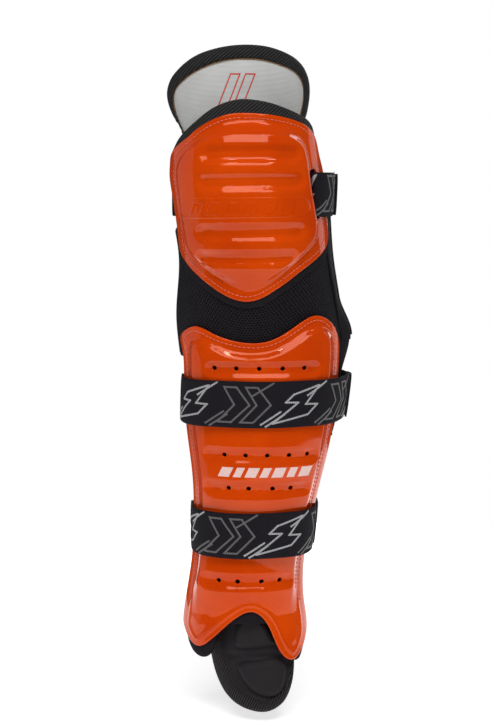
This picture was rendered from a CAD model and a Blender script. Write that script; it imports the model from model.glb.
"""Ice hockey shin guard for the left leg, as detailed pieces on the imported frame.

Lengths in this script are millimetres, unless a line says metres; they become metres as each mesh is made.
A point on the guard is (s, z): s runs round the leg from the front's middle line, z runs up the leg.
"""
import math

import bpy
import numpy as np
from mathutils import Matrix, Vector, geometry


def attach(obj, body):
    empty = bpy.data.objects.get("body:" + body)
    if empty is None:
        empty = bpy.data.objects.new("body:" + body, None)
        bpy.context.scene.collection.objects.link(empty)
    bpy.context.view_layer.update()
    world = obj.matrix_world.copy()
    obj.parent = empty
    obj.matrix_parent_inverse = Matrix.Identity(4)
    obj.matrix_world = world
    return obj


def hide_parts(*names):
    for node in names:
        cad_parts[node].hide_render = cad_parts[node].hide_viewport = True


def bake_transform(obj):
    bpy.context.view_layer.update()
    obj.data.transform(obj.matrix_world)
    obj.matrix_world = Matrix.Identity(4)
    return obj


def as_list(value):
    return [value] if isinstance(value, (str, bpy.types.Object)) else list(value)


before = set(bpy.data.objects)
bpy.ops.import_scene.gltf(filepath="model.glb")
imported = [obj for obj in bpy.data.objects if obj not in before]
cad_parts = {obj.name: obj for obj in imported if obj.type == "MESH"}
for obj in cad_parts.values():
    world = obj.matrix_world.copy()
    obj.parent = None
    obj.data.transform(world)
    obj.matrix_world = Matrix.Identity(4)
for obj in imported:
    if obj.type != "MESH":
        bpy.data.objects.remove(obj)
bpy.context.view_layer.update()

MM = 0.001
ROUND = 65.0  # radius that turns an angle round the leg into millimetres
SHELL = 2.2  # thickness of both hard shells
BOARD = -0.4, -1.9  # outer and inner offsets of the cloth that a shell is sewn to
SLAB = -2.2, -9.8  # offsets of the foam behind it
LINING = -9.7  # outer offset of the lining behind the foam
FLOOR_Z, FLOOR_RADIUS = -0.352, 0.8  # metres


# ------------------------------------------------------------------ curves and forms
def natural(xs, ys):
    """Natural cubic spline through the points."""
    xs, ys = np.array(xs, float), np.array(ys, float)
    n, h = len(xs), np.diff(xs)
    matrix, right = np.eye(n), np.zeros(n)
    for i in range(1, n - 1):
        matrix[i, i - 1 : i + 2] = h[i - 1], 2 * (h[i - 1] + h[i]), h[i]
        right[i] = 6 * ((ys[i + 1] - ys[i]) / h[i] - (ys[i] - ys[i - 1]) / h[i - 1])
    bend = np.linalg.solve(matrix, right)

    def at(x):
        x = np.asarray(x, float)
        i = np.clip(np.searchsorted(xs, x) - 1, 0, n - 2)
        left, gone, step = xs[i + 1] - x, x - xs[i], h[i]
        curve = (bend[i] * left**3 + bend[i + 1] * gone**3) / (6 * step)
        curve = curve + (ys[i] / step - bend[i] * step / 6) * left
        return curve + (ys[i + 1] / step - bend[i + 1] * step / 6) * gone

    return at


def smooth(t):
    t = np.clip(t, 0, 1)
    return t * t * (3 - 2 * t)


def unit(v):
    return v / np.linalg.norm(v, axis=-1, keepdims=True)


def headings(line, closed=True):
    """Unit directions along a line."""
    return unit(np.roll(line, -1, 0) - np.roll(line, 1, 0) if closed else np.gradient(line, axis=0))


def lengths(line):
    """How far along a line each of its points is."""
    return np.concatenate([[0], np.cumsum(np.linalg.norm(np.diff(line, axis=0), axis=1))])


class Form:
    """A stack of ellipses: (z, centre x, centre y, half width, half depth)."""

    def __init__(self, stations):
        rows = np.array(sorted(stations), float)
        self.columns = [natural(rows[:, 0], rows[:, k]) for k in range(1, 5)]

    def base(self, s, z):
        xc, yc, a, b = (column(z) for column in self.columns)
        t = np.asarray(s, float) / ROUND
        return np.stack([xc + a * np.sin(t), yc - b * np.cos(t), np.asarray(z, float) + 0 * t], -1)

    def normal(self, s, z):
        across = self.base(s + 0.5, z) - self.base(s - 0.5, z)
        up = self.base(s, z + 0.5) - self.base(s, z - 0.5)
        n = np.cross(across, up)
        return unit(n)

    def point(self, s, z, off=0.0):
        s, z = np.asarray(s, float), np.asarray(z, float)
        return self.base(s, z) + self.normal(s, z) * np.asarray(off, float)[..., None]

    def flat(self, points):
        """Front-view points (x, z) as (s, z)."""
        x, z = np.array(points, float).T
        xc, _, a, _ = (column(z) for column in self.columns)
        return np.stack([ROUND * np.arcsin(np.clip((x - xc) / a, -0.9995, 0.9995)), z], 1)


LEG = Form([
    (205, -12.5, 4, 67, 62), (165, -8, 0, 67, 66), (102, -3, -2, 70, 72), (50, 3, 0, 68, 68),
    (0, 5.5, 0, 73, 62),
    (-47, 8, -1, 71, 60), (-96, 6.5, -1, 67.5, 58), (-150, 3, -1, 58.5, 55), (-208, -3.5, -2, 51.5, 51),
    (-262, -6.5, -9, 54.5, 50), (-312, -4, -18, 56, 50)])
THIGH = Form([(132, -10, 14, 52, 62), (165, -12, 14, 57, 61), (205, -12.5, 17, 64, 60),
    (240, -12.5, 20, 64, 60)])
CALF = Form([(8, 8.5, 0, 73, 60), (-20, 12.5, 0, 74.5, 60), (-48, 11, 0, 69.5, 60), (-96, 9, 0, 65.5, 58),
    (-120, 7.5, 0, 62, 56)])
INSTEP = Form([(-232, 2, -12, 46, 33), (-262, 3, -12, 45, 37), (-298, 6, -14, 46, 39), (-322, 8, -20, 45, 40),
    (-350, 9, -29, 44, 40)])


def through(points, step=1.5, closed=True):
    """A smooth line through the points, as points about step apart."""
    points = np.array(points, float)
    if closed:
        points = np.concatenate([points[-4:], points, points[:5]])
    along = np.concatenate([[0], np.cumsum(np.linalg.norm(np.diff(points, axis=0), axis=1) ** 0.5)])
    columns = [natural(along, points[:, k]) for k in range(points.shape[1])]
    low, high = (along[4], along[-5]) if closed else (along[0], along[-1])
    fine = np.linspace(low, high, 4000)
    line = np.stack([column(fine) for column in columns], 1)
    return evenly(line[:-1] if closed else line, step, closed)


def evenly(line, step, closed=False):
    line = np.array(line, float)
    whole = np.concatenate([line, line[:1]]) if closed else line
    along = lengths(whole)
    count = max(3, int(round(along[-1] / step)))
    at = np.linspace(0, along[-1], count + 1)[: count if closed else count + 1]
    return np.stack([np.interp(at, along, whole[:, k]) for k in range(whole.shape[1])], 1)


def polygon(points, step=1.5):
    return evenly(points, step, True)


def distance(points, loop, closed=True):
    """Distance to a line, positive inside it where it is closed."""
    points, a = np.asarray(points, float), np.asarray(loop, float)
    b = np.roll(a, -1, 0) if closed else a[1:]
    a = a if closed else a[:-1]
    found = np.empty(len(points))
    edge, length = b - a, np.maximum(((b - a) ** 2).sum(1), 1e-12)
    for i in range(0, len(points), 4000):
        p = points[i : i + 4000, None, :]
        t = np.clip(((p - a) * edge).sum(2) / length, 0, 1)
        away = np.sqrt((((p - a) - t[..., None] * edge) ** 2).sum(2)).min(1)
        if closed:
            x, z = p[..., 0], p[..., 1]
            cross = (a[:, 1] > z) != (b[:, 1] > z)
            at = a[:, 0] + (z - a[:, 1]) / np.where(edge[:, 1] == 0, 1e-12, edge[:, 1]) * edge[:, 0]
            away = np.where((cross & (x < at)).sum(1) % 2 == 1, away, -away)
        found[i : i + 4000] = away
    return found


def inward(loop, amount):
    """A closed line moved inwards, without the points that come too near another part of it."""
    side = headings(loop)[:, ::-1] * (1, -1)
    for sign in (1, -1):
        moved = loop + side * amount * sign
        gap = distance(moved, loop)
        if (gap > 0).mean() > 0.5:
            break
    return moved[gap > amount * 0.93]


# ------------------------------------------------------------------ meshes
def make(name, points, faces, body, replaced=(), material=None, uv=None, smooth_angle=50):
    """A mesh object on a body, from points in millimetres."""
    mesh = bpy.data.meshes.new(name)
    mesh.from_pydata((np.asarray(points) * MM).tolist(), [], [tuple(map(int, f)) for f in faces])
    mesh.update()
    if uv is not None:
        layer = mesh.uv_layers.new(name="cloth")
        corner = np.zeros(len(mesh.loops), np.int32)
        mesh.loops.foreach_get("vertex_index", corner)
        layer.data.foreach_set("uv", (np.asarray(uv)[corner] * MM).astype(np.float32).ravel())
    mesh.polygons.foreach_set("use_smooth", [True] * len(mesh.polygons))
    if smooth_angle:
        mesh.set_sharp_from_angle(angle=math.radians(smooth_angle))
    piece = bpy.data.objects.new(name, mesh)
    bpy.context.scene.collection.objects.link(piece)
    if material:
        for one in material if isinstance(material, (list, tuple)) else [material]:
            mesh.materials.append(one)
    if isinstance(body, str):
        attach(piece, body)
    else:
        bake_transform(piece)
    if replaced:
        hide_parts(*([replaced] if isinstance(replaced, str) else replaced))
    return piece


def fill(loops, pitch, rings=(), extra=()):
    """Triangles that fill a region. loops[0] is its edge, the others are holes, extra holds (points, their pitch)."""
    outer = np.asarray(loops[0])
    points, edges = [], []
    for loop in loops:
        first = len(points)
        points += [tuple(p) for p in loop]
        edges += [(first + i, first + (i + 1) % len(loop)) for i in range(len(loop))]
    low, high = outer.min(0), outer.max(0)
    rows = np.arange(low[1], high[1] + pitch, pitch * 0.866)
    columns = np.arange(low[0], high[0] + pitch, pitch)
    grid = np.array([(x + (k % 2) * pitch / 2, z) for k, z in enumerate(rows) for x in columns])
    near = max(rings) if len(rings) else 0
    loose = [((inward if k == 0 else outward)(loop, r), 0.0) for r in rings for k, loop in enumerate(loops)]
    loose += [(more[depth_in(more, loops) > near + own * 0.4], own * 0.6) for more, own in extra]
    loose += [(grid[depth_in(grid, loops) > near + pitch * 0.4], pitch * 0.62)]
    cells, size = {}, pitch
    for batch, gap in loose:
        for p in batch:
            x, z = float(p[0]), float(p[1])
            i, j = int(x // size), int(z // size)
            close = (q for a in (i - 1, i, i + 1) for b in (j - 1, j, j + 1) for q in cells.get((a, b), ()))
            if gap and any((q[0] - x) ** 2 + (q[1] - z) ** 2 < gap * gap for q in close):
                continue
            cells.setdefault((i, j), []).append((x, z))
            points.append((x, z))
    made = geometry.delaunay_2d_cdt([Vector(p) for p in points], edges, [], 0, 1e-5, False)
    flat = np.array([tuple(v) for v in made[0]])
    faces = np.array([f for f in made[2]])
    keep = depth_in(flat[faces].mean(1), loops) > 1e-6
    return flat, faces[keep]


def outward(loop, amount):
    side = headings(loop)[:, ::-1] * (1, -1)
    for sign in (1, -1):
        moved = loop + side * amount * sign
        if (distance(moved, loop) < 0).mean() > 0.5:
            return moved


def depth_in(points, loops):
    """How far inside the region each point is."""
    away = distance(points, loops[0])
    for hole in loops[1:]:
        low, high = hole.min(0) - 9, hole.max(0) + 9
        near = ((points > low) & (points < high)).all(1)
        away[near] = np.minimum(away[near], -distance(points[near], hole))
    return away


def skin(name, form, loops, outer, inner, edge, pitch, body, slot, replaced=(), material=None, uv=None,
        extra=(), hole_edge=None, angle=50):
    """A plate or pad over a form: an outer face, an inner face and a rounded edge between them.

    outer and inner are offsets in millimetres, or functions of (s, z).
    """
    loops = [np.asarray(loop) for loop in loops]
    rings = [edge * k for k in (0.12, 0.4, 0.8, 1.3)]
    flat, faces = fill(loops, pitch, rings, extra)
    s, z = flat[:, 0], flat[:, 1]
    away = np.maximum(distance(flat, loops[0]), 0)
    shrink = edge - np.sqrt(np.maximum(edge**2 - np.maximum(edge - away, 0) ** 2, 0))
    if len(loops) > 1:
        lip = hole_edge or edge
        far = outward(loops[0], 30)
        gap = np.maximum(depth_in(flat, [far] + loops[1:]), 0)
        shrink = np.maximum(shrink, lip - np.sqrt(np.maximum(lip**2 - np.maximum(lip - gap, 0) ** 2, 0)))
    top = (outer(s, z) if callable(outer) else np.full(len(s), float(outer)))
    under = (inner(s, z) if callable(inner) else np.full(len(s), float(inner)))
    middle = (top + under) / 2
    top = np.maximum(top - shrink, middle + 0.03)
    under = np.minimum(under + shrink, middle - 0.03)
    points = np.concatenate([form.point(s, z, top), form.point(s, z, under)])
    n = len(flat)
    if np.sign(np.cross(flat[faces[0][1]] - flat[faces[0][0]], flat[faces[0][2]] - flat[faces[0][0]])) < 0:
        faces = faces[:, ::-1]
    sides = {}
    for a, b, c in faces:
        for p, q in ((a, b), (b, c), (c, a)):
            if (q, p) in sides:
                del sides[(q, p)]
            else:
                sides[(p, q)] = True
    walls = [(q, p, p + n, q + n) for p, q in sides]
    every = [tuple(f) for f in faces] + [tuple(f[::-1] + n) for f in faces] + walls
    across = np.stack([s, z], 1) if uv is None else uv(s, z)
    return make(name, points, every, body, replaced, material, np.concatenate([across, across]), angle)


def sweep(name, line, outs, sides, profile, body, replaced=(), material=None, closed=False, angle=50):
    """A profile carried along a line. profile is (sideways, outwards) pairs round a closed section."""
    line, outs, sides, profile = (np.asarray(v, float) for v in (line, outs, sides, profile))
    count, k = len(line), len(profile)
    across, up = profile.T[:, None, :, None]
    points = line[:, None, :] + sides[:, None, :] * across + outs[:, None, :] * up
    faces = tube_faces(count, k, closed)
    uv = np.stack([np.repeat(lengths(line), k), np.tile(lengths(profile), count)], 1)
    return make(name, points.reshape(-1, 3), outward_faces(points.reshape(-1, 3), faces), body,
        replaced, material, uv, angle)


def tube_faces(count, k, closed=False, first=0):
    """Faces of a tube of count rings of k points each, from point number first, with its ends shut."""
    faces = []
    for i in range(count if closed else count - 1):
        a, b = first + i * k, first + (i + 1) % count * k
        faces += [(a + m, a + (m + 1) % k, b + (m + 1) % k, b + m) for m in range(k)]
    if not closed:
        last = first + (count - 1) * k
        faces += [tuple(range(first, first + k))[::-1], tuple(range(last, last + k))]
    return faces


def outward_faces(points, faces):
    """The same faces, turned so that the solid's volume is positive."""
    volume = sum(np.dot(points[f[0]], np.cross(points[f[i]], points[f[i + 1]])) for f in faces
        for i in range(1, len(f) - 1))
    return faces if volume > 0 else [tuple(f)[::-1] for f in faces]


# ------------------------------------------------------------------ materials
class Paint:
    """A material's nodes, built with short calls."""

    def __init__(self, name, colour, rough, **sockets):
        self.material = bpy.data.materials.new(name)
        self.material.use_nodes = True
        self.tree = self.material.node_tree
        self.shader = next(n for n in self.tree.nodes if n.type == "BSDF_PRINCIPLED")
        self.material.diffuse_color = (*colour, 1)
        self.set(self.shader, "Base Color", (*colour, 1))
        self.set(self.shader, "Roughness", rough)
        for socket, value in sockets.items():
            self.set(self.shader, socket.replace("_", " "), value)

    def set(self, node, socket, value):
        target = node.inputs[socket]
        if isinstance(value, bpy.types.NodeSocket):
            self.tree.links.new(value, target)
        elif value is not None:
            target.default_value = value

    def node(self, kind, inputs=(), out=0, **settings):
        made = self.tree.nodes.new(kind)
        for key, value in settings.items():
            setattr(made, key, value)
        for key, value in dict(inputs).items():
            self.set(made, key, value)
        return made.outputs[out]

    def math(self, operation, a, b=None, c=None):
        return self.node("ShaderNodeMath", {0: a, 1: b, 2: c}, operation=operation)

    def place(self, cloth=True, turn=0.0, scale=(1, 1, 1), shift=(0, 0, 0)):
        here = self.node("ShaderNodeTexCoord", out="UV" if cloth else "Object")
        return self.node("ShaderNodeMapping", {"Vector": here, "Location": shift, "Rotation": (0, 0, turn),
            "Scale": scale})

    def noise(self, size, detail=2.0, at=None, rough=0.5):
        at = at or self.place(False)
        return self.node("ShaderNodeTexNoise", {"Vector": at, "Scale": 1000.0 / size, "Detail": detail,
            "Roughness": rough})

    def ribs(self, pitch, turn=0.0, bend=0.0, at=None):
        """Parallel ribs pitch millimetres apart, from 0 to 1."""
        at = at or self.place(turn=turn)
        return self.node("ShaderNodeTexWave", {"Vector": at, "Scale": 314.16 / pitch, "Distortion": bend,
            "Detail": 1.0, "Detail Scale": 2.0})

    def remap(self, value, low, high, a=0.0, b=1.0):
        return self.node("ShaderNodeMapRange", {"Value": value, "From Min": low, "From Max": high,
            "To Min": a, "To Max": b})

    def mix(self, share, a, b):
        made = self.tree.nodes.new("ShaderNodeMix")
        made.data_type = "RGBA"
        for key, value in ((0, share), (6, a), (7, b)):
            self.set(made, key, (*value, 1) if isinstance(value, tuple) and len(value) == 3 else value)
        return made.outputs[2]

    def bump(self, height, depth, strength=1.0, over=None):
        """Relief depth millimetres high."""
        normal = self.node("ShaderNodeBump", {"Height": height, "Distance": depth * MM, "Strength": strength,
            "Normal": over})
        self.set(self.shader, "Normal", normal)
        return normal

    def colour(self, value):
        self.set(self.shader, "Base Color", value)

    def rough(self, value):
        self.set(self.shader, "Roughness", value)


def orange_paint():
    """Hard glossy plastic with slight clouds of tone and fine wear."""
    p = Paint("orange_shell", (0.72, 0.062, 0.0012), 0.06, Coat_Weight=0.3, Coat_Roughness=0.03, Coat_IOR=1.4,
        Specular_IOR_Level=0.42,
              Specular_Tint=(1.0, 0.42, 0.24, 1))
    cloud = p.remap(p.noise(60, 2), 0.35, 0.65)
    p.colour(p.mix(cloud, (0.66, 0.052, 0.0008), (0.76, 0.070, 0.0012)))
    p.rough(p.remap(p.noise(2.6, 6, rough=0.7), 0.5, 0.8, 0.05, 0.2))
    return p.material


def ribbed_binding(name="black_binding", colour=(0.011, 0.0105, 0.011), pitch=2.2, turn=0.9, depth=0.6):
    p = Paint(name, colour, 0.72, Specular_IOR_Level=0.22)
    rib = p.ribs(pitch, turn, 0.25)
    thread = p.ribs(0.55, turn + 1.35)
    light = tuple(c * 4.6 for c in colour)
    dark = tuple(c * 0.35 for c in colour)
    p.colour(p.mix(p.math("MULTIPLY", rib, p.remap(thread, 0, 1, 0.6, 1.0)), dark, light))
    p.bump(p.math("ADD", rib, p.math("MULTIPLY", thread, 0.18)), depth)
    return p.material


def hole_mesh(name="black_mesh", cell=(2.5, 2.1)):
    """Open-hole spacer mesh: rows of oval holes, each row shifted by half a hole."""
    p = Paint(name, (0.01, 0.009, 0.011), 0.62, Specular_IOR_Level=0.12)
    found = []
    for shift in (0.0, 0.5):
        at = p.place(scale=(1000 / cell[0], 500 / cell[1], 1), shift=(shift, shift, 0))
        split = p.node("ShaderNodeVectorMath", {0: at}, operation="FRACTION")
        split = p.node("ShaderNodeVectorMath", {0: split, 1: (0.5, 0.5, 0)}, operation="SUBTRACT")
        split = p.node("ShaderNodeVectorMath", {0: split, 1: (1.0, 1.65, 0)}, operation="MULTIPLY")
        found.append(p.node("ShaderNodeVectorMath", {0: split}, out=1, operation="LENGTH"))
    near = p.math("MINIMUM", *found)
    thread = p.remap(near, 0.27, 0.46)
    p.colour(p.mix(thread, (0.0016, 0.0012, 0.0022), (0.021, 0.018, 0.023)))
    p.bump(thread, 0.8)
    return p.material


def webbing(name="black_elastic", colour=(0.0125, 0.0105, 0.015)):
    p = Paint(name, colour, 0.8, Specular_IOR_Level=0.15)
    weft, warp = p.ribs(0.9), p.ribs(0.8, math.pi / 2)
    weave = p.math("MULTIPLY", weft, warp)
    fleck = p.remap(p.noise(0.9, 2, p.place()), 0.62, 0.74)
    body = p.mix(p.remap(weave, 0, 1), tuple(c * 0.55 for c in colour), tuple(c * 1.7 for c in colour))
    p.colour(p.mix(p.math("MULTIPLY", fleck, 0.35), body, (0.075, 0.07, 0.085)))
    p.bump(weave, 0.22)
    return p.material


def woven_print(name, colour):
    """Thread of another colour woven into a strap."""
    p = Paint(name, colour, 0.7, Sheen_Weight=0.2)
    weft, warp = p.ribs(0.9, 0), p.ribs(0.8, math.pi / 2)
    weave = p.math("MULTIPLY", weft, warp)
    p.colour(p.mix(p.remap(p.noise(0.8, 1, p.place()), 0.3, 0.7), tuple(c * 0.62 for c in colour),
        tuple(c * 1.15 for c in colour)))
    p.bump(weave, 0.2)
    return p.material


def soft_cloth(name, colour, grain=0.6, depth=0.12, sheen=0.0, rough=0.82, spread=0.35):
    """A close knitted face laminated to foam."""
    p = Paint(name, colour, rough, Sheen_Weight=sheen, Sheen_Roughness=0.5, Specular_IOR_Level=0.14)
    fine = p.noise(grain, 3)
    cloud = p.noise(22, 2)
    light = tuple(c * (1 + spread) for c in colour)
    dark = tuple(c * (1 - spread) for c in colour)
    p.colour(p.mix(p.math("MULTIPLY_ADD", fine, 0.6, p.math("MULTIPLY", cloud, 0.4)), dark, light))
    p.bump(fine, depth)
    return p.material


def grey_knit():
    p = Paint("grey_knit", (0.66, 0.66, 0.63), 0.7, Sheen_Weight=0.15, Sheen_Roughness=0.4)
    row = p.ribs(1.05, math.pi / 2, 0.15)
    wale = p.ribs(0.8)
    shade = p.mix(row, (0.56, 0.57, 0.56), (0.72, 0.725, 0.70))
    cloud = p.remap(p.noise(26, 2), 0.35, 0.7)
    p.colour(p.mix(p.math("MULTIPLY", cloud, 0.35), shade, (0.50, 0.49, 0.485)))
    p.bump(p.math("MULTIPLY_ADD", wale, 0.3, row), 0.16)
    return p.material


def plain(name, colour, rough=0.6, depth=0.1):
    """Thread or ink of one colour, with a fine grain."""
    p = Paint(name, colour, rough)
    fine = p.noise(0.5, 2)
    p.colour(p.mix(fine, tuple(c * 0.75 for c in colour), tuple(c * 1.25 for c in colour)))
    p.bump(fine, depth)
    return p.material


ORANGE = orange_paint()
BINDING = ribbed_binding()
FOOT_RIB = ribbed_binding("black_foot_rib", (0.012, 0.0105, 0.011), 2.6, 0.65, 0.7)
MESH = hole_mesh()
ELASTIC = webbing()
SMOOTH = soft_cloth("black_fabric", (0.011, 0.0095, 0.012), 0.7, 0.1)
MOULDED = soft_cloth("moulded_pad", (0.020, 0.0175, 0.0195), 0.55, 0.08, spread=0.2, rough=0.6)
FOAM = soft_cloth("foam", (0.035, 0.035, 0.038), 1.2, 0.25, sheen=0.0, rough=0.9)
BRUSHED = soft_cloth("brushed_lining", (0.040, 0.038, 0.043), 0.9, 0.3, sheen=0.25, rough=0.95)
GREY = grey_knit()
PILE = soft_cloth("loop_pile", (0.012, 0.011, 0.013), 0.5, 0.35, sheen=0.2, rough=0.95)
THREAD = plain("seam_thread", (0.85, 0.20, 0.15), 0.4, 0.05)
EDGE_THREAD = plain("edge_thread", (0.30, 0.13, 0.03), 0.6, 0.05)
LIGHT_PRINT = woven_print("print_light", (0.46, 0.46, 0.48))
DIM_PRINT = woven_print("print_dim", (0.13, 0.125, 0.13))
WHITE_INK = plain("white_ink", (0.88, 0.62, 0.58), 0.3, 0.02)
RED_INK = plain("red_ink", (0.62, 0.05, 0.035), 0.5, 0.02)


# ------------------------------------------------------------------ shapes used by several pieces
def slope(d, width):
    """From 0 at a wall's foot to 1 at its top, with small fillets."""
    t = np.clip(d / width, 0, 1)
    return 0.72 * t + 0.28 * t * t * (3 - 2 * t)


def stadium(x, z, place):
    """Depth inside a stadium given as (centre x, centre z, length, height)."""
    cx, cz, length, height = place
    r = height / 2
    return r - np.hypot(np.maximum(np.abs(x - cx) - (length / 2 - r), 0), z - cz)


def stadium_line(place, inset=0.0, step=1.2):
    cx, cz, length, height = place
    r = height / 2
    turn = np.linspace(-math.pi / 2, math.pi / 2, 24)
    right = [(cx + length / 2 - r + (r - inset) * math.cos(a), cz + (r - inset) * math.sin(a)) for a in turn]
    left = [(cx - length / 2 + r - (r - inset) * math.cos(a), cz - (r - inset) * math.sin(a)) for a in turn]
    return evenly(right + left, step, True)


def circle(x, z, r, count=20):
    turn = np.linspace(0, 2 * math.pi, count, endpoint=False)
    return np.stack([x + r * np.cos(turn), z + r * np.sin(turn)], 1)


def front(form, s, z):
    return np.stack([form.base(s, z)[..., 0], np.asarray(z, float)], 1)


def ridge(d, at, width, high):
    return high * np.exp(-(((d - at) / width) ** 2))


def tubes(name, paths, radius, body, material, sides=6, replaced=(), taper=True):
    """Round threads along several paths, as one mesh."""
    points, faces, uv = [], [], []
    turn = np.linspace(0, 2 * math.pi, sides, endpoint=False)
    for path, closed in paths:
        path = np.asarray(path, float)
        count = len(path)
        ahead = headings(path, closed)
        up = unit(np.cross(ahead, np.array([0.31, 0.17, 0.93])))
        other = np.cross(ahead, up)
        size = np.full(count, float(radius))
        if taper and not closed:
            size[0] = size[-1] = radius * 0.45
        first = len(points)
        ring = path[:, None] + size[:, None, None] * (up[:, None] * np.cos(turn)[None, :, None] + other[:,
            None] * np.sin(turn)[None, :, None])
        points += ring.reshape(-1, 3).tolist()
        uv += [(a, radius * w) for a in lengths(path) for w in turn]
        faces += tube_faces(count, sides, closed, first)
    return make(name, points, faces, body, replaced, material, np.array(uv), 60)


def sew(name, form, line, height, body, material=None, length=2.5, gap=1.0, width=0.72):
    """A row of stitches along a line of (s, z) points lying on a surface at that height."""
    line = evenly(line, 0.25, False)
    step, every = int(length / 0.25), int((length + gap) / 0.25)
    paths = []
    for first in range(0, len(line) - step, every):
        at = line[np.linspace(first, first + step, 5).astype(int)]
        high = height(at[:, 0], at[:, 1]) if callable(height) else np.full(5, float(height))
        lift = np.array([-0.12, 0.16, 0.24, 0.16, -0.12])
        paths.append((form.point(at[:, 0], at[:, 1], high + lift), False))
    return tubes(name, paths, width / 2, body, material or THREAD)


def strokes(name, surface, lines, width, high, body, material, jag=0.0, step=1.0):
    """Flat raised lines on a surface(u, v, off). lines holds (points, closed)."""
    points, faces, uv = [], [], []

    def perp(d):
        return np.array([-d[1], d[0]])

    for line, closed in lines:
        line = np.array(line, float)
        legs = [(line[i], line[(i + 1) % len(line)]) for i in range(len(line) if closed else len(line) - 1)]
        ways = [(b - a) / np.linalg.norm(b - a) for a, b in legs]
        stations, sides = [], []
        for i, (a, b) in enumerate(legs):
            n = perp(ways[i])
            before = perp(ways[i - 1]) if closed or i else n
            mitre = (n + before) / max(1 + n @ before, 0.4)
            count = max(1, int(np.linalg.norm(b - a) / step))
            for k in range(count):
                stations.append(a + (b - a) * k / count)
                sides.append(mitre if k == 0 else n * (1 + jag * (1 if k % 2 else -1)))
        if not closed:
            stations.append(line[-1])
            sides.append(perp(ways[-1]))
        stations, sides = np.array(stations), np.array(sides)
        first, count = len(points), len(stations)
        for (x, z), side in zip(stations, sides):
            for reach, off in ((0.5, high), (0.5, -0.06), (-0.5, -0.06), (-0.5, high)):
                at = (x + side[0] * width * reach, z + side[1] * width * reach)
                points.append((*at, off))
                uv.append(at)
        faces += tube_faces(count, 4, closed, first)
    points = np.array(points)
    return make(name, surface(points[:, 0], points[:, 1], points[:, 2]), faces, body, (), material,
        np.array(uv), 40)


def area_of(piece):
    """Half of a thin closed piece's surface, in square metres."""
    return sum(face.area for face in piece.data.polygons) / 2


def cloth(piece, held, rests_on=()):
    """Declares a thin piece as a sheet, cut flat to its own size."""
    area = area_of(piece)
    uv = np.array([tuple(d.uv) for d in piece.data.uv_layers["cloth"].data])
    wide, long = (float(v) for v in uv.max(0) - uv.min(0))
    long = max(long, area / wide)
    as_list(rests_on)


def padded(piece):
    return piece


# ------------------------------------------------------------------ knee cap
CAP = through([
    (-6.8, 173.7), (12, 172.7), (28.7, 170.1), (42.1, 165.8), (48.3, 161.3), (52.7, 154.4), (55.8, 141.3),
    (59.1, 128.1),
    (61.6, 110.1), (62.9, 87.2), (64.3, 72.7), (63.6, 64.3), (61, 58.5), (53.2, 50.3), (40.9, 41.3),
    (28.9, 31.9),
    (16.9, 23.8), (7.4, 18.3), (-2.1, 15.7), (-11.6, 16.4), (-21.1, 19.9), (-30.8, 25.6), (-43, 34.9),
    (-51.5, 42.8),
    (-57.9, 51), (-61.1, 58.2), (-62.8, 72.7), (-65, 90.9), (-68, 110.1), (-69.6, 122.2), (-69.2, 133.1),
    (-67.8, 141.3),
    (-62, 148.2), (-54.5, 153.8), (-44.7, 161.9), (-32.8, 168.6), (-20.9, 172.6)], 1.2)
CAP_DOME = through([
    (-7, 166), (25, 163), (39, 154), (45.5, 138), (49.5, 110), (54.5, 78), (51, 65), (37, 50), (19, 35),
    (-2, 24), (-22, 33),
    (-38, 43.5), (-51.5, 57), (-57, 77), (-61.5, 111), (-62, 130), (-54, 144), (-39, 156.5), (-23, 164)], 1.2)
CAP_FLUTES = [(-1.5, 138, 79, 17), (-1, 115.5, 84, 16.5), (-1, 75.5, 86, 16.5), (-4, 54, 80, 15)]
CAP_BAND = (-6.5, 95.5, 99, 16)
CAP_BARS = [[(x, 90), (x + 3.4, 101), (x + 12.4, 101), (x + 9, 90)] for x in np.arange(-47, 30, 13.2)]
SLOT_X, SLOT_Z, SLOT_TILT = 51.7, 106.0, math.radians(4.5)


def slot_line():
    line = stadium_line((0, 0, 42, 4.8), step=1.0)
    along, across = line.T
    x = SLOT_X - along * math.sin(SLOT_TILT) + across * math.cos(SLOT_TILT)
    z = SLOT_Z + along * math.cos(SLOT_TILT) + across * math.sin(SLOT_TILT)
    return np.stack([x, z], 1)


def cap_height(s, z):
    at = front(LEG, s, z)
    x, z = at.T
    d = distance(at, CAP_DOME)
    rise = 5.2 * slope(d, 5.2 + 10 * smooth((z - 143) / 18)) + 3.2 * (1 - (1 - np.clip(d / 42, 0, 1)) ** 2)
    for place in CAP_FLUTES:
        rise -= 2.9 * slope(stadium(x, z, place), 5.6)
    rise *= 0.1 + 0.9 * np.maximum(smooth((z - 24) / 22), smooth((np.abs(x + 2) - 10) / 16))
    rise += ridge(stadium(x, z, CAP_BAND), 0.9, 0.75, 0.45)
    for bar in CAP_BARS:
        near = (np.abs(x - bar[0][0] - 6.2) < 9) & (np.abs(z - 95.5) < 8)
        if near.any():
            rise[near] += ridge(distance(at[near], polygon(bar, 0.6)), 0.55, 0.7, 0.5)
    return SHELL + rise


def crease(form, loops, amounts):
    """Extra points along walls, so that their feet and tops are crisp."""
    return [(form.flat(inward(loop, r) if r else loop), 1.0) for loop in loops for r in amounts]


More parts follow.
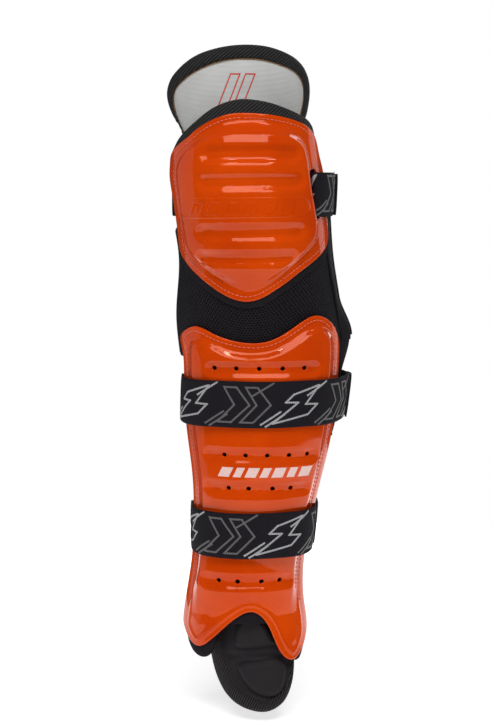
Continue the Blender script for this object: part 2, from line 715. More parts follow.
def cap_piece():
    extra = crease(LEG, [CAP_DOME], (0, 1.7, 3.5, 5.2))
    extra += [(LEG.flat(stadium_line(place, r)), 1.0) for place in CAP_FLUTES for r in (0, 1.9, 3.8, 5.6)]
    fine = np.array([(x, z) for z in np.arange(86.5, 104.6, 0.62) for x in np.arange(-58, 45, 0.62)])
    extra.append((LEG.flat(fine), 0.62))
    return skin(
        "knee_cap", LEG, [LEG.flat(CAP), LEG.flat(slot_line())], cap_height, lambda s,
        z: cap_height(s, z) - SHELL, 0.95, 1.35,
        "knee", "orange_shell", "knee_cap_shell", ORANGE, extra=extra, hole_edge=0.9, angle=60)


cap_piece()
cap_seam = LEG.flat(inward(CAP, 4.4))
sew("knee_cap_stitches", LEG, np.concatenate([cap_seam, cap_seam[:1]]), cap_height, "knee")

# ------------------------------------------------------------------ shin plate
SHIN = through([
    (-61, -17), (-57, -11), (-48, -7), (-32, -13), (-11, -19), (8, -19.5), (24, -14), (41, -3), (54, 2.5),
    (66, -3), (73, -15),
    (74.5, -36), (69.5, -96), (61.5, -134), (52, -176), (44.5, -218), (44.5, -252), (47, -275), (43, -292),
    (35.5, -299.5),
    (28, -296), (20.5, -283.5), (11.5, -264), (1, -255.5), (-8, -257), (-21.5, -267), (-39, -284),
    (-46, -288), (-52, -286),
    (-58, -277), (-59.3, -268), (-54, -231), (-51, -205), (-50.3, -150), (-54.5, -110), (-58, -70),
    (-59, -31)], 1.2)
SHIN_DOME = through([
    (-51, -19), (-41, -17), (-22, -24.5), (0, -28), (20, -24.5), (38, -13.5), (51, -6.5), (61, -7.5),
    (68, -17), (69, -36),
    (63.5, -96), (55.5, -136), (46, -176), (38.5, -216), (38, -250), (41, -275), (38, -288.5), (30.5, -286),
    (17.5, -262),
    (6, -248.5), (-6, -247.5), (-22, -256.5), (-37, -270), (-46.5, -277), (-53, -268), (-48.5, -231),
    (-45.5, -205),
    (-44.5, -150), (-48.5, -110), (-52, -70), (-53.5, -36)], 1.2)
SHIN_FLUTES = [(9, -42.5, 93, 15), (8, -117, 92, 15), (5, -146, 84, 14.5), (-4, -229.5, 76, 15)]
VENTS = [
    (-41.5, (-30, -12.5, 6, 25, 42.5)), (-116.5, (-22, -5, 12.5, 30, 45)), (-145.5, (-18.5, -2.5, 16.5, 31)),
    (-228.5, (-27, -12, 7, 21.5))]


def shin_height(s, z):
    at = front(LEG, s, z)
    x, z = at.T
    d = distance(at, SHIN_DOME)
    low = smooth((-z - 232) / 30)
    rise = slope(d, 6.5) * (4.6 - 4.1 * low) + (1 - low) * 1.6 * (1 - (1 - np.clip(d / 36, 0, 1)) ** 2)
    for place in SHIN_FLUTES:
        rise -= 2.6 * slope(stadium(x, z, place), 5.2)
    notch = distance(at, SHIN)
    rise += ridge(notch, 5.6, 0.8, 0.7) * smooth((-z - 243) / 12)
    return SHELL + rise


def shin_piece():
    extra = crease(LEG, [SHIN_DOME], (0, 2.1, 4.3, 6.5))
    extra += [(LEG.flat(stadium_line(place, r)), 1.0) for place in SHIN_FLUTES for r in (0, 1.7, 3.5, 5.2)]
    for r in (4.6, 5.2, 5.6, 6.0, 6.6):
        line = inward(SHIN, r)
        extra.append((LEG.flat(line[line[:, 1] < -243]), 0.6))
    holes = [LEG.flat(circle(x, z, 1.75)) for z, row in VENTS for x in row]
    return skin(
        "shin_plate", LEG, [LEG.flat(SHIN)] + holes, shin_height, lambda s, z: shin_height(s, z) - SHELL,
        0.95, 1.6,
        "shin", "orange_shell", "shin_plate_shell", ORANGE, extra=extra, hole_edge=0.7, angle=60)


shin_piece()
line = LEG.flat(inward(SHIN, 3.9))
start = int(np.argmin(np.hypot(*(line - LEG.flat([(44.5, -250)])[0]).T)))
line = np.roll(line, -start, 0)
if line[30, 1] < line[0, 1]:
    line = np.roll(line[::-1], 1, 0)
stop = int(np.argmin(np.hypot(*(line - LEG.flat([(-54.5, -238)])[0]).T)))
sew("shin_plate_stitches", LEG, line[:stop], shin_height, "shin")


def on_shin(u, v, off):
    flat = LEG.flat(np.stack([u, v], 1))
    return LEG.point(flat[:, 0], flat[:, 1], shin_height(flat[:, 0], flat[:, 1]) + off)


def slabs(name, surface, quads, high, body, material, cells=7):
    """Flat raised patches on a surface(u, v, off), each given by its four corners."""
    points, faces, uv = [], [], []
    steps = np.linspace(0, 1, cells)
    for quad in quads:
        a, b, c, d = np.array(quad, float)
        first, n = len(points), cells * cells
        grid = [(1 - v) * ((1 - u) * a + u * b) + v * ((1 - u) * d + u * c) for v in steps for u in steps]
        points += [(*g, high) for g in grid] + [(*g, -0.08) for g in grid]
        uv += grid + grid
        at = lambda i, j: first + j * cells + i
        for i in range(cells - 1):
            for j in range(cells - 1):
                faces.append((at(i, j), at(i + 1, j), at(i + 1, j + 1), at(i, j + 1)))
                faces.append((at(i, j + 1) + n, at(i + 1, j + 1) + n, at(i + 1, j) + n, at(i, j) + n))
        rim = [at(i, 0) for i in range(cells - 1)] + [at(cells - 1, j) for j in range(cells - 1)]
        rim += [at(i, cells - 1) for i in range(cells - 1, 0, -1)] + [at(0, j)
            for j in range(cells - 1, 0, -1)]
        faces += [(rim[k], rim[k] + n, rim[(k + 1) % len(rim)] + n, rim[(k + 1) % len(rim)])
            for k in range(len(rim))]
    points = np.array(points)
    return make(name, surface(points[:, 0], points[:, 1], points[:, 2]), faces, body, (), material,
        np.array(uv), 40)


slabs("shin_plate_bars", on_shin, [[(x, -135), (x + w, -135), (x + w + 3.6, -126.6), (x + 3.6, -126.6)] for x,
    w in zip(
    (-26, -14.5, -5.5, 6, 15, 26.5, 35.5), (8.5, 6, 8.5, 6, 8.5, 6, 8.5))], 0.12, "shin",
    WHITE_INK)


# ------------------------------------------------------------------ knee padding behind the cap
def quilt(form, base, deep, pitch, turn=0.0, centre=0.0):
    """Offsets of a quilted inner face: soft channels pitch millimetres apart."""
    def at(s, z):
        u = (s - centre) * math.cos(turn) + z * math.sin(turn)
        return base - deep * np.abs(np.sin(math.pi * u / pitch)) ** 0.55
    return at


cap_edge = LEG.flat(outward(CAP, 1.5))
backing = skin("knee_cap_backing_cloth", LEG, [cap_edge], *BOARD, 0.7, 5, "knee", "black_fabric",
    "knee_cap_backing", SMOOTH)
cloth(backing, "laid", ["knee_foam"])
foam_edge = LEG.flat(outward(CAP, 2.6))
padded(skin("knee_foam", LEG, [foam_edge], *SLAB, 2.6, 3.5, "knee", "foam", "knee_foam_pad", SMOOTH))
padded(skin("knee_lining", LEG, [LEG.flat(outward(CAP, 0.8))], LINING, quilt(LEG, -11.6, 2.2, 26), 1.6, 2.2,
    "knee", "brushed_lining",
            "knee_liner", BRUSHED))

RIM = through([
    (-69.5, 138), (-67.8, 147), (-63.5, 154.5), (-56, 162.5), (-47.5, 169.5), (-39, 176), (-30, 181),
    (-20, 184.6), (-9, 186.4),
    (1, 186), (11, 184.6), (22, 181.8), (32, 178.4), (40.5, 175), (48, 170.6), (52.3, 164.5), (54.6, 156),
    (55.6, 147), (30, 140),
    (-10, 145), (-50, 130)], 1.6)


def rim_height(s, z):
    d = distance(front(LEG, s, z), RIM)
    return 0.2 + 1.9 * np.sin(np.clip(d / 13, 0, 1) * math.pi * 0.75)


padded(skin("knee_rim", LEG, [LEG.flat(RIM)], rim_height, -8.8, 3.4, 2.2, "knee", "black_binding",
    "knee_pad_rim", BINDING))

# smooth tape that finishes the cap's lower edge before the mesh begins
low_edge = outward(CAP, 1.9)
low_edge = np.roll(low_edge, -int(np.argmax(low_edge[:, 1])), 0)
keep = np.nonzero(low_edge[:, 1] < 66)[0]
tape_line = LEG.flat(low_edge[keep[0] : keep[-1] + 1])
tape_mid = LEG.point(tape_line[:, 0], tape_line[:, 1], 0.15)
tape_out = LEG.normal(tape_line[:, 0], tape_line[:, 1])
tape_way = headings(tape_mid, False)
flat_tape = [(-4.4, -0.2), (-4.2, 0.35), (-3.2, 0.55), (0, 0.62), (3.2, 0.55), (4.2, 0.35), (4.4, -0.2),
    (3.2, -0.5), (0, -0.5), (-3.2, -0.5)]
tape = sweep("knee_cap_tape", tape_mid, tape_out, np.cross(tape_out, tape_way), flat_tape, "knee",
    (), SMOOTH)
cloth(tape, "laid", ["knee_mesh"])

# ------------------------------------------------------------------ knitted mesh and side gusset at the knee
mesh_guide = np.array([(-150, 108)] + [tuple(p) for p in CAP[np.argsort(CAP[:, 0])]
    if p[1] < 57] + [(150, 112)])


def mesh_uv(s, z):
    return np.stack([s, distance(np.stack([s * 0.94 + 2, z], 1), mesh_guide, False)], 1)


mesh_edge = polygon([(-106, 74), (-60, 82), (60, 82), (76, 88), (77, 60), (80, 34), (83, 8), (88, -6),
    (92, -34), (-106, -36)], 3)
BEND = ("shin", "knee", (0, 0, -0.016), (0, 0, 0.022))
mesh_panel = skin("knee_mesh", LEG, [mesh_edge], lambda s, z: -0.55 + 0.35 * np.sin(s / 17) * np.sin(z / 13),
    -2.3, 0.8, 2.6, BEND,
                  "black_mesh", "knee_knit_panel", MESH, mesh_uv)
cloth(mesh_panel, "stretched", ["knee_foam", "shin_foam"])

gusset_edge = polygon([(75, 92), (76, 60), (79, 34), (82, 8), (86, -8), (90, -22), (112, -22), (112, 60),
    (108, 92)], 3)


def flare(s, z):
    return 8.2 * smooth((16 - z) / 34) * smooth((s - 84) / 18)


gusset = skin("knee_gusset", LEG, [gusset_edge], lambda s, z: 0.1 + flare(s, z), lambda s,
    z: -1.9 + flare(s, z), 0.9, 2.4, BEND, "black_fabric", "knee_side_gusset", SMOOTH)
cloth(gusset, "stretched", ["knee_foam"])


def rolled(name, form, line, radius, lift, body, material=None, closed=False,
        squash=0.7):
    """A rolled edge sewn along a line of (s, z)."""
    line = np.asarray(line, float)
    mid = form.point(line[:, 0], line[:, 1], lift(*line.T) if callable(lift) else lift)
    out = form.normal(line[:, 0], line[:, 1])
    way = headings(mid, closed)
    turn = np.linspace(0, 2 * math.pi, 14, endpoint=False)
    ring = np.stack([radius * np.cos(turn), radius * squash * np.sin(turn)], 1)
    return sweep(name, mid, out, np.cross(out, way), ring, body, (), material or BINDING, closed)


seam = through([(76, 90), (76.5, 60), (79.5, 34), (82.5, 8), (86, -10)], 1.5, False)
rolled("knee_gusset_seam", LEG, seam, 1.5, 0.1, BEND, SMOOTH)
side = through([(104, 90), (104, 60), (104, 34), (104, 12), (104, -2), (104, -18)], 1.5, False)
rolled("knee_gusset_edge", LEG, side, 2.3, flare, BEND, SMOOTH)
side = through([(-105, 74), (-105.5, 40), (-105.5, 8), (-105, -34)], 1.5, False)
rolled("knee_mesh_edge", LEG, side, 1.4, -0.9, BEND, SMOOTH)

# ------------------------------------------------------------------ thigh flap
FLAP = through([
    (-3.4, 233.2), (12, 232.2), (25, 229.2), (36, 224.6), (44, 217.8), (49, 208), (50.6, 197), (49.8, 186),
    (47, 174), (42, 162),
    (38, 153), (-10, 148), (-52, 152), (-59, 158), (-64, 168), (-70, 179), (-74.4, 191), (-74.2, 199),
    (-70.5, 207.5), (-62, 216.5),
    (-50, 224.4), (-36, 229.2), (-20, 232.2)], 1.6)
FLAP_FACE = through([
    (-4.9, 220.4), (10.2, 219.4), (25.3, 215.6), (36.8, 211), (42.4, 205), (44.4, 198.7), (44.6, 189.6),
    (43.1, 180.6), (40.5, 170),
    (35.5, 157), (30, 153), (-10, 152), (-50, 154), (-58.5, 159), (-63.4, 168), (-67, 178), (-68.6, 186),
    (-67.8, 193), (-63.7, 199.5),
    (-53.2, 207.8), (-38, 215), (-23, 219)], 1.6)


def flap_border(s, z):
    at = front(THIGH, s, z)
    out, inside = distance(at, FLAP), -distance(at, FLAP_FACE)
    share = np.clip(out / np.maximum(out + inside, 0.5), 0, 1)
    return -1.0 + 3.4 * np.sin(share * math.pi) ** 0.6


padded(skin("thigh_border", THIGH, [THIGH.flat(FLAP), THIGH.flat(FLAP_FACE)], flap_border, lambda s,
    z: -7.8 - 0.6 * flap_border(s, z), 2.2,
            1.9, "thigh", "black_binding", "thigh_flap_border", BINDING, hole_edge=1.6))
face = skin("thigh_face", THIGH, [THIGH.flat(outward(FLAP_FACE, 0.8))],
            lambda s, z: -0.9 + 0.5 * np.sin(s / 21 + 0.6) * np.sin(z / 17) + 0.12 * np.sin((s + z) / 6.5),
            -2.0, 0.5, 2.2, "thigh", "grey_knit",
            "thigh_flap_face", GREY)
cloth(face, "laid", ["thigh_foam"])
padded(skin("thigh_foam", THIGH, [THIGH.flat(outward(FLAP_FACE, 0.4))], -2.1, -6.2, 1.2, 4, "thigh", "foam",
    "thigh_flap_foam", FOAM))
lining = skin("thigh_lining", THIGH, [THIGH.flat(outward(FLAP_FACE, 0.6))], -6.3, quilt(THIGH, -7.2, 0.9, 30),
    0.6, 2.4, "thigh",
              "brushed_lining", "thigh_flap_lining", BRUSHED)
cloth(lining, "laid", ["thigh_foam"])
piping = THIGH.flat(outward(FLAP_FACE, 0.25))
tubes("thigh_piping", [(THIGH.point(piping[:, 0], piping[:, 1], -0.25), True)], 0.33, "thigh",
    EDGE_THREAD)


def on_flap(u, v, off):
    flat = THIGH.flat(np.stack([u, v], 1))
    s, z = flat.T
    return THIGH.point(s, z,
        -0.9 + 0.5 * np.sin(s / 21 + 0.6) * np.sin(z / 17) + 0.12 * np.sin((s + z) / 6.5) + off)


strokes("thigh_emblem", on_flap, [
    ([(-29, 181), (-18.5, 208), (-10.5, 208), (-21, 181)], True),
    ([(-16, 181), (-5.5, 208), (2.5, 208), (-8, 181)], True)],
    1.2, 0.12, "thigh", RED_INK)

# ------------------------------------------------------------------ shin padding
PAD = through([
    (-57.5, -18), (-54, -13.5), (-47, -11), (-30, -16.5), (-10, -22), (8, -23), (24, -18), (41, -7), (54, -2),
    (64, -6.5), (71.5, -17),
    (73.3, -36), (68.5, -96), (60.5, -134), (51, -176), (43.6, -218), (43.5, -254), (42, -262), (20, -266),
    (-20, -266), (-50, -264),
    (-54.5, -258), (-52, -231), (-49.8, -205), (-49.3, -150), (-53.3, -110), (-56.6, -70), (-58, -36)], 2)
backing = skin("shin_backing_cloth", LEG, [LEG.flat(inward(PAD, 0.6))], *BOARD, 0.7, 5.5, "shin",
    "black_fabric", "shin_plate_backing", SMOOTH)
cloth(backing, "laid", ["shin_foam"])
padded(skin("shin_foam", LEG, [LEG.flat(PAD)], *SLAB, 2.6, 3.5, "shin", "foam", "shin_foam_pad", SMOOTH))
padded(skin("shin_lining", LEG, [LEG.flat(inward(PAD, 1.0))], LINING, quilt(LEG, -11.4, 2.3, 24), 1.6, 2.2,
    "shin", "brushed_lining",
            "shin_liner", BRUSHED))

# ------------------------------------------------------------------ ankle pads
MEDIAL = through([
    (-36, -250), (-50, -247), (-59, -254), (-60.8, -268), (-60, -281), (-57.2, -291), (-51.5, -297.2),
    (-44, -297.6), (-37.5, -291),
    (-33, -279), (-31, -262)], 1.5)
LATERAL = through([(38.5, -250), (44, -246), (48.3, -252), (49.5, -268), (49.3, -283), (46.8, -295),
    (42.5, -302), (38.5, -299), (36, -285)], 1.5)


def pillow(form, loop, base, high, wide):
    return lambda s, z: base + high * np.sin(np.clip(distance(front(form, s, z), loop) / wide, 0,
        1) * math.pi / 2)


padded(skin("ankle_pad_inner", LEG, [LEG.flat(MEDIAL)], pillow(LEG, MEDIAL, -1.6, 1.0, 7), -8.5, 2.6, 1.8,
    "shin", "black_fabric",
            "ankle_pad_medial", SMOOTH))
padded(skin("ankle_pad_outer", LEG, [LEG.flat(LATERAL)], pillow(LEG, LATERAL, -1.6, 1.0, 6), -8.5, 2.4, 1.8,
    "shin", "black_fabric",
            "ankle_pad_lateral", SMOOTH))

# ------------------------------------------------------------------ instep guard: one tongue that folds in its middle
TONGUE = through([
    (-37.5, -256), (-42.5, -268), (-42, -281), (-38.5, -295), (-35, -309.5), (-29.8, -322.5), (-22.5, -332),
    (-12, -338.2), (-1, -341),
    (10, -342), (20, -340), (29, -334.5), (34.5, -325), (37.3, -313), (38, -300), (38, -284), (37, -268),
    (30, -257), (0, -253)], 1.6)
NECK_BLOCK = through([
    (-14.5, -288.5), (-15.5, -280), (-14, -271), (-9, -264.5), (-1, -261.5), (6, -263), (12, -269),
    (17.5, -279), (21.5, -285.5),
    (12, -288.2), (0, -289.2)], 1.0)
LOBE_BLOCK = through([
    (-12.5, -306), (-9.5, -314), (-4.5, -320.5), (3, -326.3), (11, -329), (19.5, -329.3), (26, -325.5),
    (29.6, -317), (29.8, -307),
    (26, -300.5), (20, -298.2), (8, -299.6), (-4, -301.4), (-10, -303)], 1.0)


def tongue_width(x, z):
    """Width of the ribbed border: wide on the inner side and round the toe, narrow on the outer side."""
    return 4.0 + 8.5 * smooth((8 - x) / 30) + 5.0 * smooth((-z - 318) / 14)


def tongue_height(s, z):
    at = front(INSTEP, s, z)
    x, z = at.T
    d = distance(at, TONGUE)
    wide = tongue_width(x, z)
    rise = 1.6 * np.sin(np.clip(d / wide, 0, 1) * math.pi) ** 0.7 - 1.6 * slope(d - wide + 1.2, 3)
    fold = z + 296.6 - 0.035 * (x - 5)
    rise -= 1.6 * np.exp(-((fold / 2.2) ** 2)) * slope(d - wide + 2, 4)
    return -0.6 + rise


FOLD = ("shin", "instep", (0.003, -0.05, -0.2925), (0.003, -0.05, -0.3025))
tongue = skin("instep_tongue", INSTEP, [INSTEP.flat(TONGUE)], tongue_height, -8.3, 3.0, 1.3, FOLD,
    "moulded_pad",
              ["instep_neck_pad", "instep_lobe_pad"], [MOULDED, FOOT_RIB])
co = np.array([tuple(v.co) for v in tongue.data.vertices]) / MM
near = distance(co[:, [0, 2]], TONGUE) < tongue_width(co[:, 0], co[:, 2]) + 0.4
for face_ in tongue.data.polygons:
    face_.material_index = int(near[list(face_.vertices)].mean() > 0.5)
padded(tongue)


def block(name, loop, body, replaced, high=3.0):
    rise = lambda s, z: 0.2 + high * slope(distance(front(INSTEP, s, z), loop), 4.2) ** 0.8
    padded(skin(name, INSTEP, [INSTEP.flat(loop)], rise, -2.4, 0.8, 1.0, body, "moulded_pad", replaced,
        MOULDED))


block("instep_neck_pillow", NECK_BLOCK, "shin", "instep_neck_block", 3.0)
block("instep_lobe_pillow", LOBE_BLOCK, "instep", "instep_lobe_block", 3.0)

# ------------------------------------------------------------------ calf wings
def wing(name, side, body, replaced, material):
    """A padded flap from under the plate's edge round the side of the calf."""
    loop = polygon([(80, -10), (92, -5.2), (104, -5.0), (140, -6), (172, -8), (180, -16), (182, -57),
        (180, -98), (172, -107), (140, -108.5),
                    (104, -108), (84, -104), (78, -60)], 2)
    loop = evenly(loop, 2, True)
    for _ in range(3):
        loop = (np.roll(loop, 1, 0) + loop + np.roll(loop, -1, 0)) / 3
    loop[:, 0] *= side

    def top(s, z):
        s = np.abs(s)
        tuck = 1 - smooth((s - 78) / 24)
        d = distance(np.stack([s * side, z], 1), loop)
        return -(9.0 if side > 0 else 6.5) * tuck + 0.9 * np.sin(np.clip(d / 14, 0, 1) * math.pi / 2) - 0.9

    def under(s, z):
        d = distance(np.stack([s, z], 1), loop)
        channel = np.abs(np.sin(math.pi * (z + 57) / 25.5)) ** 0.6
        return top(s, z) - 4.2 - 2.4 * channel * slope(d - 3, 6)

    edge = 0.07 if side > 0 else -0.05
    turn = (edge, 0.0, -0.057), (edge, 0.018, -0.057)
    piece = skin(name, CALF, [loop], top, under, 2.0, 2.2, ("shin", body, *turn), "black_fabric", replaced,
        material)
    padded(piece)
    s, z = loop.T
    points, out = CALF.point(s, z, top(s, z) - 2.2), CALF.normal(s, z)
    ring = [(2.4 * math.cos(a), 2.9 * math.sin(a)) for a in np.linspace(0, 2 * math.pi, 14, endpoint=False)]
    sweep(name + "_binding", points, out, np.cross(out, headings(points)), ring, ("shin", body, *turn),
        (), BINDING, True)


wing("wing_outer", 1, "wing_lateral", "calf_wing_lateral", SMOOTH)
wing("wing_inner", -1, "wing_medial", "calf_wing_medial", SMOOTH)


# ------------------------------------------------------------------ straps
class Band:
    """A strap standing on edge along a route seen from above, with the leg on its right-hand side."""

    def __init__(self, route, low, height, lean=0.0, left=0.0, thick=1.8):
        self.line = through(route, 1.2, False)
        self.along = lengths(self.line)
        self.long, self.low, self.height = self.along[-1], low, height
        self.lean, self.left, self.thick = lean, left, thick

    def point(self, u, v, off):
        u, v, off = (np.asarray(q, float) for q in (u, v, off))
        x, y = (np.interp(u, self.along, self.line[:, k]) for k in (0, 1))
        x0, y0 = (np.interp(u - 2.5, self.along, self.line[:, k]) for k in (0, 1))
        x1, y1 = (np.interp(u + 2.5, self.along, self.line[:, k]) for k in (0, 1))
        long = np.hypot(x1 - x0, y1 - y0)
        nx, ny = -(y1 - y0) / long, (x1 - x0) / long
        h = v / self.height - 0.5
        off = off + h * self.height * (self.lean * np.maximum(nx, 0) ** 1.5 - self.left * np.maximum(-nx,
            0) ** 1.5)
        off = off - 0.5 * np.abs(2 * h) ** 5 + 0.12 * np.sin(u / 5.3) * (2 * h) ** 2
        return np.stack([x + nx * off, y + ny * off, self.low + v + 0.15 * np.sin(u / 11)], -1)

    def mesh(self, name, body, slot, replaced, material, start=0.0, stop=None, step=1.6):
        stop = self.long if stop is None else stop
        half, h = self.thick / 2, self.height
        face = list(np.linspace(half, h - half, 22))
        ring = [(v, half) for v in face] + [(h, 0.0)] + [(v, -half) for v in face[::-1]] + [(0.0, 0.0)]
        ring = np.array(ring)
        us = np.linspace(start, stop, max(4, int((stop - start) / step)))
        u, v = np.repeat(us, len(ring)), np.tile(ring[:, 0], len(us))
        points = self.point(u, v, np.tile(ring[:, 1], len(us)))
        k = len(ring)
        faces = outward_faces(points, tube_faces(len(us), k))
        return make(name, points, faces, body, replaced, material, np.stack([u, v], 1), 60)


KNEE_FRONT = Band([(71, 6), (71.3, -4), (70.6, -16), (67, -32), (61.2, -44.6), (55.6, -50.6), (52, -49.4),
    (51.7, -44.3)], 87, 38, 0.04)
KNEE_ANCHOR = Band([(-57, 0.9), (-63.5, 1.2), (-67.5, 2.6), (-70.2, 5.5)], 87, 38)
KNEE_REAR = Band([(-64.5, 3.1), (-67.3, 4.4), (-69.0, 8), (-69.4, 14), (-68, 30), (-45, 61), (0, 74),
    (46, 62), (66.5, 34), (71, 8)], 87, 38, 0.04)
UPPER_FRONT = Band([
    (83.5, 7), (83, -8), (77, -28), (66, -48), (46, -62.5), (20, -70), (-8, -70), (-33, -62.5), (-53, -48.5),
    (-61.5, -27), (-62.5, -3)],
    -92, 40, 0.12, 0.03)
UPPER_REAR = Band([(-60.4, -12), (-60.7, -2), (-60.3, 10), (-57.5, 34), (-32, 66), (8, 76), (48, 67),
    (75, 38), (83.5, 9)], -92, 40, 0.12, 0.03)
LOWER_FRONT = Band([
    (54.3, 7), (54.6, -8), (54.3, -27), (45.8, -48.8), (29.2, -60.5), (8, -66), (-12, -66), (-31.2, -60.5),
    (-45.2, -49.2), (-52.7, -29),
    (-54, -3)], -206.5, 40, 0.09)
LOWER_REAR = Band([(-52, -12), (-52.2, -2), (-51.8, 10), (-48.6, 30), (-29, 54), (0, 62), (29, 54), (49, 32),
    (54.3, 9)], -206.5, 40, 0.09)


def webbing_piece(band, name, body, replaced, rests):
    cloth(band.mesh(name, body, "black_elastic", replaced, ELASTIC), "stretched", rests)


webbing_piece(KNEE_FRONT, "knee_strap_front_band", "knee", "knee_strap_loop", ["knee_cap"])
webbing_piece(KNEE_ANCHOR, "knee_strap_sewn_end", "knee", "knee_strap_anchor", ["knee_foam"])
webbing_piece(UPPER_FRONT, "upper_strap_front_band", "shin", "upper_strap_front", ["shin_plate"])
webbing_piece(LOWER_FRONT, "lower_strap_front_band", "shin", "lower_strap_front", ["shin_plate"])
webbing_piece(KNEE_REAR, "knee_strap_back_band", ("knee", "knee_strap", (-0.0706, 0.007, 0.106),
    (-0.062, 0.018, 0.106)), "knee_strap_rear",
              ["knee_strap_sewn_end"])
webbing_piece(UPPER_REAR, "upper_strap_back_band",
    ("shin", "upper_strap", (-0.0628, -0.001, -0.072), (-0.054, 0.011, -0.072)),
              "upper_strap_rear", ["upper_strap_front_band"])
webbing_piece(LOWER_REAR, "lower_strap_back_band",
    ("shin", "lower_strap", (-0.0543, -0.001, -0.1865), (-0.046, 0.011, -0.1865)),
              "lower_strap_rear", ["lower_strap_front_band"])


def closure(band, rear, name, body, pile_node, tab_node, front_body):
    """Loop pile sewn on the front band and the hook tab that closes on it."""
    def patch(label, own, offs, u0, u1, v0, v1, rides, node, material):
        height = v1 - v0
        face = np.linspace(v0, v1, 12)
        ring = np.array([(v, offs[1]) for v in face] + [(v, offs[0]) for v in face[::-1]])
        us = np.linspace(u0, u1, 14)
        k = len(ring)
        u, v = np.repeat(us, k), np.tile(ring[:, 0], len(us))
        points = own.point(u, v, np.tile(ring[:, 1], len(us)))
        faces = outward_faces(points, tube_faces(len(us), k))
        piece = make(label, points, faces, rides, node, material, np.stack([u, v], 1), 60)
        cloth(piece, "laid", [label.rsplit("_", 2)[0] + "_front_band"])
    h = band.height
    patch(name + "_loop_pile", band, (0.95, 1.75), 1.5, 15, 3, h - 3, front_body, pile_node,
        PILE)
    whole = Band(list(map(tuple, rear.line[-12:])) + [tuple(p) for p in band.line[1:14]], band.low, h,
        band.lean, thick=band.thick)
    patch(name + "_hook_tab", whole, (2.1, 3.6), 2.0, whole.long - 2.5, 1, h - 1, body, tab_node,
        ELASTIC)


closure(KNEE_FRONT, KNEE_REAR, "knee_strap", "knee_strap", "knee_strap_loop_pile", "knee_strap_hook_tab",
    "knee")
closure(UPPER_FRONT, UPPER_REAR, "upper_strap", "upper_strap", "upper_strap_loop_pile",
    "upper_strap_hook_tab", "shin")
closure(LOWER_FRONT, LOWER_REAR, "lower_strap", "lower_strap", "lower_strap_loop_pile",
    "lower_strap_hook_tab", "shin")

# woven pattern: hollow bolts and hollow chevron pairs between slanted bars, light and dim in turn
BOLT = [(1, 4), (24, 21.5), (13, 22), (20, 28.5), (44, 36), (31, 20), (42, 19.5), (33, 11)]
CHEVRON = [(3, 5), (18, 20), (9, 35), (20, 35), (31, 20), (15, 5)]
ARROW = [(23, 5), (37, 20), (28, 35), (38, 35), (49, 20), (34, 5)]


def pattern(band, name, body, start, pitch=49.0):
    light, dim = [], []
    for k in range(8):
        at = start + k * pitch
        here, shapes = (light, [BOLT]) if k % 2 == 0 else (dim, [CHEVRON, ARROW])
        lines = [(shape, True) for shape in shapes]
        lines += [([(-9, 3), (9, 14.5)], False), ([(-5, 1.2), (12, 12)], False),
            ([(32, 27), (52, 39)], False)]
        for line, closed in lines:
            run = [(band.long - (at + u), v) for u, v in line]
            inside = [p for p in run if 1 < p[0] < band.long - 1]
            if len(inside) == len(run):
                here.append((run, closed))
            elif len(inside) > 1:
                clipped = [(min(max(u, 1), band.long - 1), v) for u, v in run]
                here.append((clipped, closed))
    half = band.thick / 2
    surface = lambda u, v, off: band.point(u, v, off + half)
    for lines, tone, paint in ((light, "_light", LIGHT_PRINT), (dim, "_dim", DIM_PRINT)):
        if lines:
            strokes(name + tone, surface, lines, 1.5, 0.14, body, paint, 0.28, 0.9)


pattern(UPPER_FRONT, "upper_strap_pattern", "shin", 24)
pattern(LOWER_FRONT, "lower_strap_pattern", "shin", 2)
pattern(KNEE_FRONT, "knee_strap_pattern", "knee", -36)


# ------------------------------------------------------------------ floor, light and camera
def area_light(name, place, aim, width, height, power):
    data = bpy.data.lights.new(name, "AREA")
    data.shape, data.size, data.size_y = "RECTANGLE", width, height
    data.energy = power
    lamp = bpy.data.objects.new(name, data)
    lamp.location = place
    lamp.rotation_euler = (Vector(aim) - Vector(place)).to_track_quat("-Z", "Y").to_euler()
    bpy.context.scene.collection.objects.link(lamp)


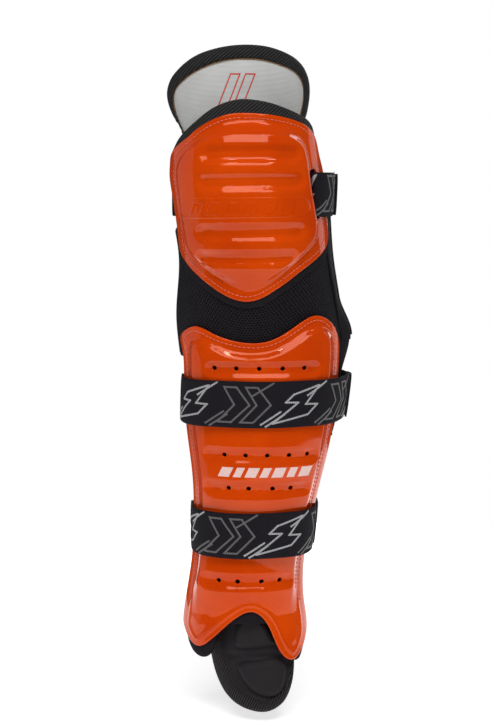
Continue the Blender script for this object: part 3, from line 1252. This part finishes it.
world = bpy.data.worlds.new("studio")
bpy.context.scene.world = world
world.use_nodes = True
sky = world.node_tree
background = next(n for n in sky.nodes if n.type == "BACKGROUND")
path = sky.nodes.new("ShaderNodeLightPath")
swap = sky.nodes.new("ShaderNodeMapRange")
swap.inputs["To Min"].default_value = 0.06
swap.inputs["To Max"].default_value = 1.0
sky.links.new(path.outputs["Is Camera Ray"], swap.inputs["Value"])
sky.links.new(swap.outputs[0], background.inputs["Strength"])
background.inputs["Color"].default_value = (1, 1, 1, 1)

turn = np.linspace(0, 2 * math.pi, 96, endpoint=False)
floor_mesh = bpy.data.meshes.new("floor")
floor_mesh.from_pydata([(FLOOR_RADIUS * math.cos(a), FLOOR_RADIUS * math.sin(a), FLOOR_Z) for a in turn], [],
    [tuple(range(96))])
floor = bpy.data.objects.new("floor", floor_mesh)
bpy.context.scene.collection.objects.link(floor)
paper = Paint("paper", (0.85, 0.85, 0.85), 0.95, Specular_IOR_Level=0.0)
paper.set(paper.shader, "Emission Color", (1, 1, 1, 1))
away = paper.node("ShaderNodeVectorMath", {0: paper.place(False)}, out=1, operation="LENGTH")
paper.set(paper.shader, "Emission Strength", paper.remap(away, 0.15, 0.7, 0.22, 1.0))
floor_mesh.materials.append(paper.material)

# soft boxes above the front, on the left, on the right and behind, and two narrow ones for hard glints
for lamp in (
    ("top_box", (0.0, -1.0, 1.12), (0, 0, 0.02), 1.5, 0.72, 17),
    ("left_panel", (-1.45, 0.22, 0.0), (0, 0, -0.06), 1.15, 1.7, 3.4),
    ("right_strip", (1.2, 0.55, 0.0), (0, 0, -0.06), 0.35, 1.6, 2.2),
    ("glint_left", (-0.33, -0.62, 1.32), (0, 0, 0.0), 0.24, 0.035, 1.0),
    ("glint_right", (0.54, -0.45, 1.32), (0, 0, 0.0), 0.36, 0.035, 1.5),
    ("back_fill", (0.3, 1.4, 0.7), (0, 0, -0.08), 1.6, 1.4, 14),
):
    area_light(*lamp)

bpy.context.scene.view_settings.view_transform = "Standard"
bpy.context.scene.view_settings.look = "None"
bpy.context.scene.view_settings.exposure = 0.0

lens = bpy.data.cameras.new("camera")
lens.lens, lens.sensor_width, lens.sensor_fit = 78.7, 36, "AUTO"
camera = bpy.data.objects.new("camera", lens)
camera.location = (-0.0053, -1.4123, 0.1041)
target = Vector((-0.0053, -0.020, -0.0422))
camera.rotation_euler = (target - camera.location).to_track_quat("-Z", "Y").to_euler()
bpy.context.scene.collection.objects.link(camera)
bpy.context.scene.camera = camera
